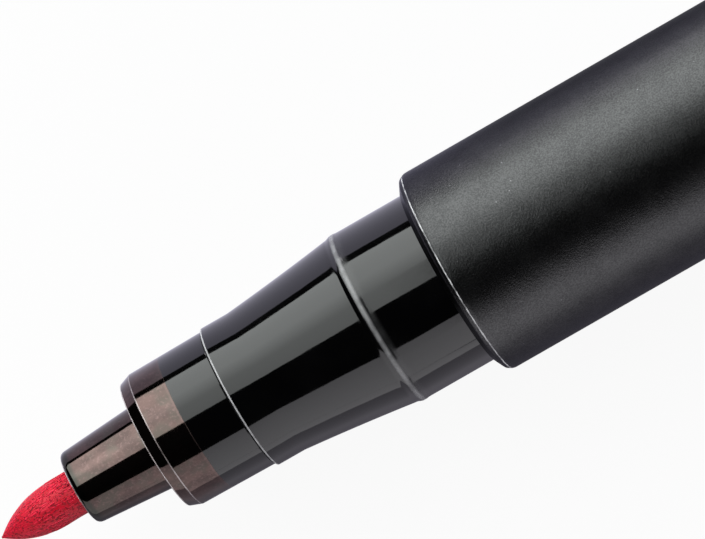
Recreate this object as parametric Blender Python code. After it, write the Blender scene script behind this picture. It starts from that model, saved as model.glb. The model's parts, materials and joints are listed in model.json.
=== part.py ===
"""Brush-tipped calligraphy marker, lying on its side with its cap posted on the tail.

Metres, +Z up. The marker's axis is the X axis and the nib points to -X. The origin is the centre of the
flat end of the cap, so every station along the axis is negative.
"""

import math

import bmesh
import bpy
from mathutils import Matrix, Vector

MM = 0.001

# Roundness of the turned pieces
SIDES = 48
EDGE_STEPS = 3
CURVE_STEPS = 8
SMOOTH_BELOW = math.radians(35)
WELD_DISTANCE = 1e-8

# Clearances
PRESS_GAP = 0.05 * MM
SEAT_GAP = 0.05 * MM
SLIDE_GAP = 0.055 * MM
SLOT_GAP = 0.15 * MM

# Fibre nib
NIB_DIAMETER = 2.37 * MM
NIB_EXPOSED = 4.43 * MM
NIB_POINT_LENGTH = 3.10 * MM
NIB_IN_RESERVOIR = 6.0 * MM
NIB_TAIL_CHAMFER = 0.6 * MM

# Nib holder: nose cone, sealing collar and stem
CONE_LENGTH = 4.42 * MM
CONE_TIP_WALL = 0.725 * MM
CONE_RISE = 0.325 * MM
CONE_EDGE_LENGTH = 0.37 * MM
CONE_EDGE_DEPTH = 0.12 * MM
COLLAR_LENGTH = 4.77 * MM
COLLAR_RISE = 0.06 * MM
COLLAR_LEAD_LENGTH = 0.62 * MM
COLLAR_LEAD_DEPTH = 0.23 * MM
COLLAR_SHOULDER = 0.78 * MM
STEM_LENGTH = 10.4 * MM
VENT_COUNT = 3
VENT_WIDTH = 0.5 * MM
VENT_DEPTH = 0.35 * MM

# Grip section: front band, flare, snap bead, cap seat and tenon
BAND_STEP = 0.13 * MM
BAND_LENGTH = 1.50 * MM
BAND_EDGE_RADIUS = 0.10 * MM
FLARE_RISE = 0.78 * MM
FLARE_LENGTH = 6.19 * MM
FLARE_START_SLOPE = 0.095
SEAT_LENGTH = 4.24 * MM
BEAD_HEIGHT = 0.025 * MM
BEAD_WIDTH = 0.40 * MM
TENON_LENGTH = 9.5 * MM
TENON_WALL = 0.79 * MM

# Snap joints inside the barrel: a ring on the bore's wall in a groove of the tenon or plug
SNAP_FROM_RIM = 4.0 * MM
SNAP_RING_HEIGHT = 0.15 * MM
SNAP_RING_WIDTH = 0.8 * MM
SNAP_GROOVE_DEPTH = 0.25 * MM
SNAP_GROOVE_WIDTH = 1.2 * MM

# Barrel: its nose is a chamfer from a narrow flat face to an edge, and a shallow blend behind the edge
BARREL_DIAMETER = 11.0 * MM
BARREL_LENGTH = 84.0 * MM
BARREL_WALL = 0.81 * MM
BARREL_NOSE_FACE = 0.09 * MM
BARREL_NOSE_LENGTH = 0.28 * MM
BARREL_NOSE_DROP = 0.17 * MM
BARREL_NOSE_BLEND = 0.36 * MM
BARREL_REAR_CHAMFER = 0.15 * MM
RIB_COUNT = 6
RIB_WIDTH = 0.7 * MM
RIB_SINK = 0.35 * MM
RIB_END_ROOM = 1.0 * MM

# Ink reservoir: a fibre core in a film wrap, as long as the barrel leaves room for
FILM_THICKNESS = 0.2 * MM
FILM_GAP = 0.10 * MM
RESERVOIR_END_GAP = 0.3 * MM
SECTION_SHOULDER_ROOM = 0.5 * MM

# Tail plug
PLUG_INSERT_LENGTH = 8.0 * MM
PLUG_WALL = 1.2 * MM
PLUG_FLANGE_LENGTH = 1.2 * MM
SPIGOT_TO_LINER = 1.79 * MM
SPIGOT_EDGE_RADIUS = 0.8 * MM
FIN_REACH = 6.75 * MM
FIN_WIDTH = 0.9 * MM
FIN_SINK = 0.3 * MM
FIN_GAP = 0.16 * MM

# Cap, flush with the barrel
CAP_SHELL_LENGTH = 44.0 * MM
CAP_MOUTH_CHAMFER = 0.15 * MM
CAP_GROOVE_DEPTH = 0.10 * MM
CAP_GROOVE_WIDTH = 1.1 * MM
LINER_SEAL_FROM_COLLAR_FRONT = 2.32 * MM
LINER_LIP_LENGTH = 1.0 * MM
LINER_WALL = 0.45 * MM
LINER_END_WALL = 1.0 * MM
LINER_FLANGE_LENGTH = 1.4 * MM
LINER_NIB_ROOM = 2.5 * MM
LINER_RIB_COUNT = 8
LINER_RIB_WIDTH = 0.7 * MM
LINER_RIB_SINK = 0.2 * MM
CROWN_RIM_LENGTH = 2.2 * MM
CROWN_RIM_RADIUS = 0.6 * MM
CROWN_INSERT_LENGTH = 6.0 * MM
CROWN_WALL = 1.0 * MM
CROWN_VENT_COUNT = 3
CROWN_VENT_SIDES = 12
CROWN_VENT_DIAMETER = 1.1 * MM
CROWN_VENT_MARGIN = 0.42 * MM

# Clip
CLIP_LENGTH = 33.0 * MM
CLIP_WIDTH = 3.6 * MM
CLIP_THICKNESS = 1.2 * MM
CLIP_LIFT = 0.80 * MM
CLIP_PAD_LENGTH = 3.6 * MM
CLIP_PAD_GAP = 0.20 * MM
CLIP_PAD_FROM_SHELL_END = 1.6 * MM
CLIP_BUMP_LENGTH = 2.4 * MM
CLIP_BUMP_FLAT = 0.8 * MM
CLIP_BUMP_FROM_TIP = 1.2 * MM
CLIP_FOOT_LENGTH = 1.5 * MM
CLIP_SLOT_REACH = 1.5 * MM
CLIP_BEVEL = 0.30 * MM
CLIP_BEVEL_STEPS = 2
CLIP_BEVEL_ABOVE = math.radians(60)

# Radii of the nib and its cone, from the nib outwards
NIB_RADIUS = NIB_DIAMETER / 2
NIB_BORE_RADIUS = NIB_RADIUS + PRESS_GAP
CONE_TIP_RADIUS = NIB_BORE_RADIUS + CONE_TIP_WALL
CONE_ROOT_RADIUS = CONE_TIP_RADIUS + CONE_RISE

# Radii of the turned pieces, from the barrel inwards through its wall, and from the seat forwards by steps
BARREL_RADIUS = BARREL_DIAMETER / 2
BARREL_BORE_RADIUS = BARREL_RADIUS - BARREL_WALL
SEAT_RADIUS = BARREL_BORE_RADIUS - PRESS_GAP
BEAD_RADIUS = SEAT_RADIUS + BEAD_HEIGHT
SNAP_GROOVE_RADIUS = SEAT_RADIUS - SNAP_GROOVE_DEPTH
BAND_RADIUS = SEAT_RADIUS - FLARE_RISE
COLLAR_REAR_RADIUS = BAND_RADIUS - BAND_STEP
COLLAR_FRONT_RADIUS = COLLAR_REAR_RADIUS - COLLAR_RISE
STEM_RADIUS = COLLAR_REAR_RADIUS - COLLAR_SHOULDER
STEM_BORE_RADIUS = STEM_RADIUS + PRESS_GAP
RESERVOIR_ROOM_RADIUS = SEAT_RADIUS - TENON_WALL
FIN_RADIUS = RESERVOIR_ROOM_RADIUS - FIN_GAP
FILM_RADIUS = RESERVOIR_ROOM_RADIUS - FILM_GAP
FILM_INNER_RADIUS = FILM_RADIUS - FILM_THICKNESS
CORE_RADIUS = FILM_INNER_RADIUS - PRESS_GAP
CAP_RADIUS = BARREL_RADIUS
CAP_BORE_RADIUS = BEAD_RADIUS + SLIDE_GAP
LINER_INNER_RADIUS = COLLAR_REAR_RADIUS + PRESS_GAP
LINER_FIT_RADIUS = CAP_BORE_RADIUS - PRESS_GAP
CROWN_CORE_RADIUS = LINER_FIT_RADIUS - CROWN_WALL
CROWN_VENT_CIRCLE_RADIUS = CROWN_CORE_RADIUS - CROWN_VENT_MARGIN - CROWN_VENT_DIAMETER / 2

# Stations along the axis, from the barrel's front rim towards the tail
SECTION_FRONT = -(BAND_LENGTH + FLARE_LENGTH + SEAT_LENGTH)
CONE_FRONT = SECTION_FRONT - SEAT_GAP - COLLAR_LENGTH - CONE_LENGTH
NIB_TIP = CONE_FRONT - NIB_EXPOSED
STEM_END = SECTION_FRONT - SEAT_GAP + STEM_LENGTH
SECTION_SHOULDER = STEM_END + SECTION_SHOULDER_ROOM
RESERVOIR_FRONT = SECTION_SHOULDER + RESERVOIR_END_GAP
NIB_END = RESERVOIR_FRONT + NIB_IN_RESERVOIR
PLUG_SEAT = BARREL_LENGTH + SEAT_GAP
FIN_LENGTH = PLUG_INSERT_LENGTH + FIN_REACH
RESERVOIR_END = PLUG_SEAT - FIN_LENGTH - RESERVOIR_END_GAP
RESERVOIR_LENGTH = RESERVOIR_END - RESERVOIR_FRONT
CAP_MOUTH = PLUG_SEAT + PLUG_FLANGE_LENGTH + SEAT_GAP
CROWN_SEAT = CAP_SHELL_LENGTH + SEAT_GAP
TAIL_FACE = CAP_MOUTH + CROWN_SEAT + CROWN_RIM_LENGTH
BEAD_FROM_RIM = SEAT_LENGTH - BEAD_WIDTH / 2

# Depths in the cap, from its mouth, with the marker's front in it
COLLAR_FRONT_DEPTH = -(CONE_FRONT + CONE_LENGTH)
LINER_MOUTH_DEPTH = COLLAR_FRONT_DEPTH - LINER_SEAL_FROM_COLLAR_FRONT - LINER_LIP_LENGTH
LINER_FLOOR_DEPTH = -NIB_TIP + LINER_NIB_ROOM
SPIGOT_LENGTH = SEAT_GAP + LINER_MOUTH_DEPTH - SPIGOT_TO_LINER

# Heights of the clip above the marker's axis
CLIP_UNDERSIDE = CAP_RADIUS + CLIP_LIFT
CLIP_TOP = CLIP_UNDERSIDE + CLIP_THICKNESS
CLIP_PIVOT_DEPTH = CAP_SHELL_LENGTH - CLIP_PAD_FROM_SHELL_END - CLIP_PAD_LENGTH / 2


def resting_roll():
    """Angle of the clip from straight down, at which its rounded corner and the barrel touch one floor."""
    height = CLIP_TOP - CLIP_BEVEL
    half_width = CLIP_WIDTH / 2 - CLIP_BEVEL
    reach = math.hypot(height, half_width)
    return math.atan2(half_width, height) + math.acos((BARREL_RADIUS - CLIP_BEVEL) / reach)


def clear_scene():
    for obj in list(bpy.data.objects):
        bpy.data.objects.remove(obj)


def plastic(name, colour, roughness, metallic=0.0):
    """A material with one Principled BSDF."""
    material = bpy.data.materials.new(name)
    material.use_nodes = True
    shader = material.node_tree.nodes["Principled BSDF"]
    shader.inputs["Base Color"].default_value = (*colour, 1.0)
    shader.inputs["Roughness"].default_value = roughness
    shader.inputs["Metallic"].default_value = metallic
    return material


def frame_empty(name, location=(0, 0, 0), parent=None, roll=0.0):
    """An empty that carries a group of pieces, on the marker's axis or on a joint's."""
    empty = bpy.data.objects.new(name, None)
    empty.location = location
    empty.rotation_euler = (roll, 0, 0)
    empty.parent = parent
    bpy.context.collection.objects.link(empty)
    return empty


def add_object(name, mesh_builder, material=None, parent=None, location=(0, 0, 0)):
    """A smooth-shaded object from a bmesh, with its normals facing out."""
    bmesh.ops.recalc_face_normals(mesh_builder, faces=mesh_builder.faces)
    mesh = bpy.data.meshes.new(name)
    mesh_builder.to_mesh(mesh)
    mesh_builder.free()
    mesh.shade_smooth()
    mesh.set_sharp_from_angle(angle=SMOOTH_BELOW)
    if material:
        mesh.materials.append(material)
    obj = bpy.data.objects.new(name, mesh)
    obj.parent = parent
    obj.location = location
    bpy.context.collection.objects.link(obj)
    return obj


def arc(centre, radius_x, radius_r, start, end, steps=EDGE_STEPS):
    """Points of an elliptic arc in the profile plane (x, r), by degrees: 0 is along +x and 90 is outwards."""
    angles = [math.radians(start + (end - start) * i / steps) for i in range(steps + 1)]
    return [(centre[0] + radius_x * math.cos(a), centre[1] + radius_r * math.sin(a)) for a in angles]


def spun(profile, closed):
    """A bmesh turned about the X axis from (x, r) points, with one facet facing straight down."""
    builder = bmesh.new()
    half_step = math.pi / SIDES
    across = Vector((0, math.sin(half_step), -math.cos(half_step)))
    points = [builder.verts.new(Vector((x, 0, 0)) + across * r) for x, r in profile]
    pairs = list(zip(points, points[1:])) + ([(points[-1], points[0])] if closed else [])
    edges = [builder.edges.new(pair) for pair in pairs]
    bmesh.ops.spin(
        builder, geom=points + edges, cent=(0, 0, 0), axis=(1, 0, 0),
        angle=2 * math.pi, steps=SIDES, use_merge=True,
    )
    bmesh.ops.remove_doubles(builder, verts=builder.verts, dist=WELD_DISTANCE)
    return builder


def turned(name, profile, material, parent, x=0.0, closed=True):
    """A turned piece. A closed profile makes a ring or a tube, an open one starts and ends on the axis."""
    return add_object(name, spun(profile, closed), material, parent, (x, 0, 0))


def bars(name, count, x_from, x_to, r_from, r_to, width, parent, x=0.0):
    """Straight bars along the axis, evenly spaced round it, as a hidden tool for a Boolean."""
    builder = bmesh.new()
    for i in range(count):
        size = Matrix.Diagonal((x_to - x_from, width, r_to - r_from, 1))
        place = Matrix.Translation(((x_from + x_to) / 2, 0, -(r_from + r_to) / 2))
        turn = Matrix.Rotation(2 * math.pi * i / count, 4, "X")
        bmesh.ops.create_cube(builder, size=1.0, matrix=turn @ place @ size)
    return hide_tool(add_object(name, builder, None, parent, (x, 0, 0)))


def hide_tool(obj):
    obj.hide_render = True
    obj.display_type = "WIRE"
    return obj


def boolean(obj, tool, operation):
    modifier = obj.modifiers.new(tool.name, "BOOLEAN")
    modifier.operation = operation
    modifier.object = tool
    modifier.solver = "EXACT"


def ring_steps(x_centre, width, radius, wall_radius):
    """Four profile points of a square-sided ring or groove at radius, standing on a wall at wall_radius."""
    start, end = x_centre - width / 2, x_centre + width / 2
    return [(start, wall_radius), (start, radius), (end, radius), (end, wall_radius)]


def bead_steps(x_centre):
    """Profile points of the low snap bead on a cap seat, a half wave on the seat's radius."""
    points = []
    for i in range(CURVE_STEPS + 1):
        share = i / CURVE_STEPS
        lift = BEAD_HEIGHT * math.sin(math.pi * share)
        points.append((x_centre + BEAD_WIDTH * (share - 0.5), SEAT_RADIUS + lift))
    return points


def brush_nib(material, parent):
    """Bonded fibre rod: a pointed ogive in front, a chamfered tail that enters the reservoir."""
    ogive_radius = (NIB_RADIUS**2 + NIB_POINT_LENGTH**2) / (2 * NIB_RADIUS)
    profile = []
    for i in range(CURVE_STEPS + 1):
        along = NIB_POINT_LENGTH * i / CURVE_STEPS
        rise = math.sqrt(ogive_radius**2 - (NIB_POINT_LENGTH - along) ** 2)
        profile.append((along, max(0.0, rise + NIB_RADIUS - ogive_radius)))
    length = NIB_END - NIB_TIP
    profile += [(length - NIB_TAIL_CHAMFER, NIB_RADIUS), (length, NIB_RADIUS - NIB_TAIL_CHAMFER)]
    profile += [(length, 0.0)]
    return turned("brush_nib", profile, material, parent, NIB_TIP, closed=False)


def nib_holder(material, parent):
    """Nose cone and sealing collar in front, a stem behind, and a vented bore for the nib right through."""
    edge_start = CONE_TIP_RADIUS - CONE_EDGE_DEPTH
    lead_end = CONE_LENGTH + COLLAR_LEAD_LENGTH
    collar_end = CONE_LENGTH + COLLAR_LENGTH
    length = collar_end + STEM_LENGTH
    profile = [(0, NIB_BORE_RADIUS)]
    profile += arc((CONE_EDGE_LENGTH, edge_start), CONE_EDGE_LENGTH, CONE_EDGE_DEPTH, 180, 90)
    profile += [(CONE_LENGTH, CONE_ROOT_RADIUS), (CONE_LENGTH, COLLAR_FRONT_RADIUS - COLLAR_LEAD_DEPTH)]
    profile += [(lead_end, COLLAR_FRONT_RADIUS), (collar_end, COLLAR_REAR_RADIUS)]
    profile += [(collar_end, STEM_RADIUS), (length, STEM_RADIUS), (length, NIB_BORE_RADIUS)]
    holder = turned("nib_holder", profile, material, parent, CONE_FRONT)
    vents = bars(
        "nib_vents", VENT_COUNT, -VENT_DEPTH, length + VENT_DEPTH,
        NIB_BORE_RADIUS - VENT_DEPTH, NIB_BORE_RADIUS + VENT_DEPTH, VENT_WIDTH, parent, CONE_FRONT,
    )
    boolean(holder, vents, "DIFFERENCE")
    return holder


def flare_steps():
    """Profile points of the grip's flare, whose slope grows evenly towards the seat."""
    bend = (FLARE_RISE - FLARE_START_SLOPE * FLARE_LENGTH) / FLARE_LENGTH**2
    points = []
    for i in range(CURVE_STEPS):
        along = FLARE_LENGTH * i / CURVE_STEPS
        points.append((BAND_LENGTH + along, BAND_RADIUS + FLARE_START_SLOPE * along + bend * along**2))
    return points


def grip_section(material, parent):
    """Glossy grip: band, flare, snap bead and cap seat in front of the barrel, tenon inside it."""
    rim = -SECTION_FRONT
    length = rim + TENON_LENGTH
    shoulder = SECTION_SHOULDER - SECTION_FRONT
    edge = BAND_EDGE_RADIUS
    profile = [(0, STEM_BORE_RADIUS)]
    profile += arc((edge, BAND_RADIUS - edge), edge, edge, 180, 90)
    profile += flare_steps()
    profile += bead_steps(rim - BEAD_FROM_RIM)
    profile += ring_steps(rim + SNAP_FROM_RIM, SNAP_GROOVE_WIDTH, SNAP_GROOVE_RADIUS, SEAT_RADIUS)
    profile += [(length, SEAT_RADIUS), (length, RESERVOIR_ROOM_RADIUS), (shoulder, RESERVOIR_ROOM_RADIUS)]
    profile += [(shoulder, STEM_BORE_RADIUS)]
    return turned("grip_section", profile, material, parent, SECTION_FRONT)


def barrel(material, parent):
    """Matte tube with a chamfered nose, a snap ring near each end and ribs that centre the reservoir."""
    ring_radius = BARREL_BORE_RADIUS - SNAP_RING_HEIGHT
    rear = BARREL_LENGTH
    profile = [(0, BARREL_BORE_RADIUS), (0, BARREL_BORE_RADIUS + BARREL_NOSE_FACE)]
    profile += [(BARREL_NOSE_LENGTH, BARREL_RADIUS - BARREL_NOSE_DROP)]
    profile += [(BARREL_NOSE_LENGTH + BARREL_NOSE_BLEND, BARREL_RADIUS)]
    profile += [(rear - BARREL_REAR_CHAMFER, BARREL_RADIUS), (rear, BARREL_RADIUS - BARREL_REAR_CHAMFER)]
    profile += [(rear, BARREL_BORE_RADIUS)]
    for x_centre in (rear - SNAP_FROM_RIM, SNAP_FROM_RIM):
        profile += reversed(ring_steps(x_centre, SNAP_RING_WIDTH, ring_radius, BARREL_BORE_RADIUS))
    tube = turned("barrel", profile, material, parent)
    ribs = bars(
        "barrel_ribs", RIB_COUNT, TENON_LENGTH + RIB_END_ROOM, rear - PLUG_INSERT_LENGTH - RIB_END_ROOM,
        RESERVOIR_ROOM_RADIUS, BARREL_BORE_RADIUS + RIB_SINK, RIB_WIDTH, parent,
    )
    boolean(tube, ribs, "UNION")
    return tube


def ink_reservoir(material, parent):
    """Fibre core with the hole that the nib's tail makes in its front end."""
    hole = NIB_IN_RESERVOIR + RESERVOIR_END_GAP
    hole_radius = NIB_RADIUS + PRESS_GAP
    profile = [(hole, 0), (hole, hole_radius), (0, hole_radius), (0, CORE_RADIUS)]
    profile += [(RESERVOIR_LENGTH, CORE_RADIUS), (RESERVOIR_LENGTH, 0)]
    return turned("ink_reservoir", profile, material, parent, RESERVOIR_FRONT, closed=False)


def reservoir_film(material, parent):
    """Thin wrap round the fibre core, open at both ends."""
    profile = [(0, FILM_INNER_RADIUS), (0, FILM_RADIUS)]
    profile += [(RESERVOIR_LENGTH, FILM_RADIUS), (RESERVOIR_LENGTH, FILM_INNER_RADIUS)]
    return turned("reservoir_film", profile, material, parent, RESERVOIR_FRONT)


def cross_prism(name, x_from, x_to, reach, width, parent, x):
    """An extruded plus sign along the axis, as a hidden tool for a Boolean."""
    half = width / 2
    quarter = [(reach, -half), (reach, half), (half, half)]
    outline = []
    for turn in range(4):
        rotation = Matrix.Rotation(math.pi / 2 * turn, 2)
        outline += [rotation @ Vector(point) for point in quarter]
    builder = bmesh.new()
    corners = [builder.verts.new((x_from, y, z)) for y, z in outline]
    face = builder.faces.new(corners)
    swept = bmesh.ops.extrude_face_region(builder, geom=[face])["geom"]
    moved = [v for v in swept if isinstance(v, bmesh.types.BMVert)]
    bmesh.ops.translate(builder, verts=moved, vec=(x_to - x_from, 0, 0))
    return hide_tool(add_object(name, builder, None, parent, (x, 0, 0)))


def tail_plug(material, parent):
    """Cored plug: an insert that snaps into the barrel, a flange, a spigot for the cap and reservoir fins."""
    core_radius = SEAT_RADIUS - PLUG_WALL
    spigot_start = PLUG_FLANGE_LENGTH
    end = spigot_start + SPIGOT_LENGTH
    groove = ring_steps(-SEAT_GAP - SNAP_FROM_RIM, SNAP_GROOVE_WIDTH, SNAP_GROOVE_RADIUS, SEAT_RADIUS)
    floor = end - PLUG_WALL
    profile = [(floor, 0), (floor, core_radius), (-PLUG_INSERT_LENGTH, core_radius)]
    profile += [(-PLUG_INSERT_LENGTH, SEAT_RADIUS)] + groove
    profile += [(0, SEAT_RADIUS), (0, BARREL_RADIUS)]
    profile += [(spigot_start, BARREL_RADIUS), (spigot_start, SEAT_RADIUS)]
    profile += bead_steps(spigot_start + BEAD_FROM_RIM)
    edge = SPIGOT_EDGE_RADIUS
    profile += arc((end - edge, SEAT_RADIUS - edge), edge, edge, 90, 0)
    profile += [(end, 0)]
    plug = turned("tail_plug", profile, material, parent, PLUG_SEAT, closed=False)
    root_radius = core_radius + FIN_SINK
    roots = cross_prism("plug_fin_roots", -PLUG_INSERT_LENGTH, 0, root_radius, FIN_WIDTH, parent, PLUG_SEAT)
    boolean(plug, roots, "UNION")
    fins = cross_prism("plug_fins", -FIN_LENGTH, 0, FIN_RADIUS, FIN_WIDTH, parent, PLUG_SEAT)
    boolean(plug, fins, "UNION")
    return plug


def cap_shell(material, parent):
    """Matte tube of the cap, with a groove for the snap bead and a slot for the clip's foot."""
    chamfer = CAP_MOUTH_CHAMFER
    profile = [(0, CAP_BORE_RADIUS), (0, CAP_RADIUS - chamfer), (chamfer, CAP_RADIUS)]
    profile += [(CAP_SHELL_LENGTH, CAP_RADIUS), (CAP_SHELL_LENGTH, CAP_BORE_RADIUS)]
    profile += reversed(
        ring_steps(BEAD_FROM_RIM, CAP_GROOVE_WIDTH, CAP_BORE_RADIUS + CAP_GROOVE_DEPTH, CAP_BORE_RADIUS)
    )
    shell = turned("cap_shell", profile, material, parent)
    half_slot = CLIP_FOOT_LENGTH / 2 + SLOT_GAP
    slot = bars(
        "clip_slot", 1, CLIP_PIVOT_DEPTH - half_slot, CLIP_PIVOT_DEPTH + half_slot,
        CAP_BORE_RADIUS - CLIP_SLOT_REACH, CAP_RADIUS + CLIP_SLOT_REACH, CLIP_WIDTH + 2 * SLOT_GAP, parent,
    )
    boolean(shell, slot, "DIFFERENCE")
    return shell


def cap_liner(material, parent):
    """Inner cap that seals on the collar: a thin cup with a flange at its mouth and ribs along its side."""
    outer = LINER_INNER_RADIUS + LINER_WALL
    floor = LINER_FLOOR_DEPTH - LINER_MOUTH_DEPTH
    end = floor + LINER_END_WALL
    profile = [(floor, 0), (floor, LINER_INNER_RADIUS), (LINER_LIP_LENGTH / 2, LINER_INNER_RADIUS)]
    profile += [(0, LINER_INNER_RADIUS + LINER_WALL / 2), (0, LINER_FIT_RADIUS)]
    profile += [(LINER_FLANGE_LENGTH, LINER_FIT_RADIUS), (LINER_FLANGE_LENGTH, outer)]
    profile += [(end - LINER_END_WALL / 2, outer), (end, outer - LINER_END_WALL / 2), (end, 0)]
    liner = turned("cap_liner", profile, material, parent, LINER_MOUTH_DEPTH, closed=False)
    ribs = bars(
        "liner_ribs", LINER_RIB_COUNT, LINER_FLANGE_LENGTH / 2, floor,
        outer - LINER_RIB_SINK, LINER_FIT_RADIUS, LINER_RIB_WIDTH, parent, LINER_MOUTH_DEPTH,
    )
    boolean(liner, ribs, "UNION")
    return liner


def vent_pins(parent):
    """Round rods through the crown's disc, as a hidden tool for its air vents."""
    builder = bmesh.new()
    length = CROWN_RIM_LENGTH * 2 + CROWN_WALL * 2
    radius = CROWN_VENT_DIAMETER / 2
    for i in range(CROWN_VENT_COUNT):
        angle = 2 * math.pi * i / CROWN_VENT_COUNT
        place = Matrix.Rotation(angle, 4, "X") @ Matrix.Translation((0, 0, CROWN_VENT_CIRCLE_RADIUS))
        bmesh.ops.create_cone(
            builder, cap_ends=True, segments=CROWN_VENT_SIDES, radius1=radius, radius2=radius,
            depth=length, matrix=place @ Matrix.Rotation(math.pi / 2, 4, "Y"),
        )
    return hide_tool(add_object("crown_vents", builder, None, parent, (CROWN_SEAT, 0, 0)))


def cap_crown(material, parent):
    """Coloured end plug of the cap, a cup with a rounded rim, a flat end and air vents."""
    insert, rim = -CROWN_INSERT_LENGTH, CROWN_RIM_LENGTH
    profile = [(0, 0), (0, CROWN_CORE_RADIUS), (insert, CROWN_CORE_RADIUS)]
    profile += [(insert, LINER_FIT_RADIUS), (0, LINER_FIT_RADIUS), (0, CAP_RADIUS)]
    profile += arc(
        (rim - CROWN_RIM_RADIUS, CAP_RADIUS - CROWN_RIM_RADIUS), CROWN_RIM_RADIUS, CROWN_RIM_RADIUS, 90, 0
    )
    profile += [(rim, 0)]
    crown = turned("cap_crown", profile, material, parent, CROWN_SEAT, closed=False)
    boolean(crown, vent_pins(parent), "DIFFERENCE")
    return crown


def clip(material, parent):
    """Spring clip: a strap with a bump near its tip, a pad at its root and a foot in the shell's slot.

    Its origin is the pivot at its root. x runs towards the crown, and -z points away from the marker's axis.
    """
    below, above = CLIP_UNDERSIDE - CAP_RADIUS, CLIP_TOP - CAP_RADIUS
    rear = CLIP_PAD_LENGTH / 2
    tip = rear - CLIP_LENGTH
    bump_rear = tip + CLIP_BUMP_FROM_TIP + CLIP_BUMP_LENGTH
    foot = CLIP_FOOT_LENGTH / 2
    foot_bottom = -(CAP_RADIUS - CAP_BORE_RADIUS)
    bump_ramp = (CLIP_BUMP_LENGTH - CLIP_BUMP_FLAT) / 2
    bump_flat_rear = bump_rear - bump_ramp
    outline = [(tip, below), (tip, above - CLIP_BEVEL), (tip + CLIP_BEVEL, above), (rear, above)]
    outline += [(rear, CLIP_PAD_GAP)]
    outline += [(foot, CLIP_PAD_GAP), (foot, foot_bottom), (-foot, foot_bottom), (-foot, CLIP_PAD_GAP)]
    outline += [(-rear, CLIP_PAD_GAP), (-rear - below, below), (bump_rear, below)]
    outline += [(bump_flat_rear, CLIP_PAD_GAP), (bump_flat_rear - CLIP_BUMP_FLAT, CLIP_PAD_GAP)]
    outline += [(bump_rear - CLIP_BUMP_LENGTH, below)]
    builder = bmesh.new()
    corners = [builder.verts.new((x, -CLIP_WIDTH / 2, -height)) for x, height in outline]
    face = builder.faces.new(corners)
    swept = bmesh.ops.extrude_face_region(builder, geom=[face])["geom"]
    moved = [v for v in swept if isinstance(v, bmesh.types.BMVert)]
    bmesh.ops.translate(builder, verts=moved, vec=(0, CLIP_WIDTH, 0))
    strap = add_object("clip", builder, material, parent)
    bevel = strap.modifiers.new("rounded edges", "BEVEL")
    bevel.width = CLIP_BEVEL
    bevel.segments = CLIP_BEVEL_STEPS
    bevel.limit_method = "ANGLE"
    bevel.angle_limit = CLIP_BEVEL_ABOVE
    return strap


def main():
    clear_scene()
    matte_black = plastic("matte_black_plastic", (0.012, 0.012, 0.013), 0.55)
    gloss_black = plastic("gloss_black_plastic", (0.004, 0.004, 0.004), 0.08)
    satin_black = plastic("satin_black_plastic", (0.010, 0.010, 0.011), 0.30)
    ink_red = plastic("ink_red_fibre", (0.55, 0.015, 0.035), 0.85)
    plug_red = plastic("ink_red_plastic", (0.50, 0.012, 0.025), 0.30)
    fibre_white = plastic("soaked_fibre", (0.62, 0.10, 0.12), 0.90)
    film = plastic("reservoir_film", (0.85, 0.85, 0.86), 0.35)
    natural = plastic("natural_plastic", (0.78, 0.78, 0.76), 0.45)

    marker = frame_empty("marker_axis", (-TAIL_FACE, 0, 0))
    brush_nib(ink_red, marker)
    nib_holder(gloss_black, marker)
    grip_section(gloss_black, marker)
    barrel(matte_black, marker)
    ink_reservoir(fibre_white, marker)
    reservoir_film(film, marker)
    tail_plug(plug_red, marker)

    cap = frame_empty("cap_slide_axis", (CAP_MOUTH, 0, 0), marker, roll=-resting_roll())
    cap_shell(matte_black, cap)
    cap_liner(natural, cap)
    cap_crown(plug_red, cap)
    clip_pivot = frame_empty("clip_pivot_axis", (CLIP_PIVOT_DEPTH, 0, -CAP_RADIUS), cap)
    clip(satin_black, clip_pivot)


main()
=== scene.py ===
# %% [markdown]
# # A brush-tipped calligraphy marker
#
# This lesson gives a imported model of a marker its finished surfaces. The marker lies on its side along
# X, with its nib towards -X and its cap posted on the tail. The construction model is the frame: it says
# where every piece sits, and nothing here moves it.

# %% Load the frame
import json
import math

import bmesh
import bpy
from mathutils import Matrix, Vector


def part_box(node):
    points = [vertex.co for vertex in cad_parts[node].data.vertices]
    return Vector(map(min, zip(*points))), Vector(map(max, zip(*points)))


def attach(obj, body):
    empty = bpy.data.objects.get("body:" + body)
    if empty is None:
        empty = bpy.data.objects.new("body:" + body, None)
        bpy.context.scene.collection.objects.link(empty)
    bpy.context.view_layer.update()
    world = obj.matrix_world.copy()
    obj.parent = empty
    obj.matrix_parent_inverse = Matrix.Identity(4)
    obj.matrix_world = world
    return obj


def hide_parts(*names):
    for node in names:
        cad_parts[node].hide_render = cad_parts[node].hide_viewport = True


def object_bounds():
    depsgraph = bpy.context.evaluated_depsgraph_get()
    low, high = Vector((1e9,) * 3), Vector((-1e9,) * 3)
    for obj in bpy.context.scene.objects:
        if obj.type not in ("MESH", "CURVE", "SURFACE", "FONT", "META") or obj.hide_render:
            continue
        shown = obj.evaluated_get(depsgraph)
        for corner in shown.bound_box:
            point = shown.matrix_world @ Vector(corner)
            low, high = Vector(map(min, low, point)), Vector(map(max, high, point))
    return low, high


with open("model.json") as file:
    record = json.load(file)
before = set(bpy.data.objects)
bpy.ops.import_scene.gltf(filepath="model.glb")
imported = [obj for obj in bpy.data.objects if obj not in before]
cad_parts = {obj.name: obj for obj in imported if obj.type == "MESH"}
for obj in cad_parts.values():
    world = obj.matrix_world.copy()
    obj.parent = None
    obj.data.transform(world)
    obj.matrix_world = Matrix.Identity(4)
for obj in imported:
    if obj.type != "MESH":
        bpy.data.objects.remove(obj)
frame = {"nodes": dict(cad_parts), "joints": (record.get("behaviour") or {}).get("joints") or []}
cad_low, cad_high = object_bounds()
MM = 0.001
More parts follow.
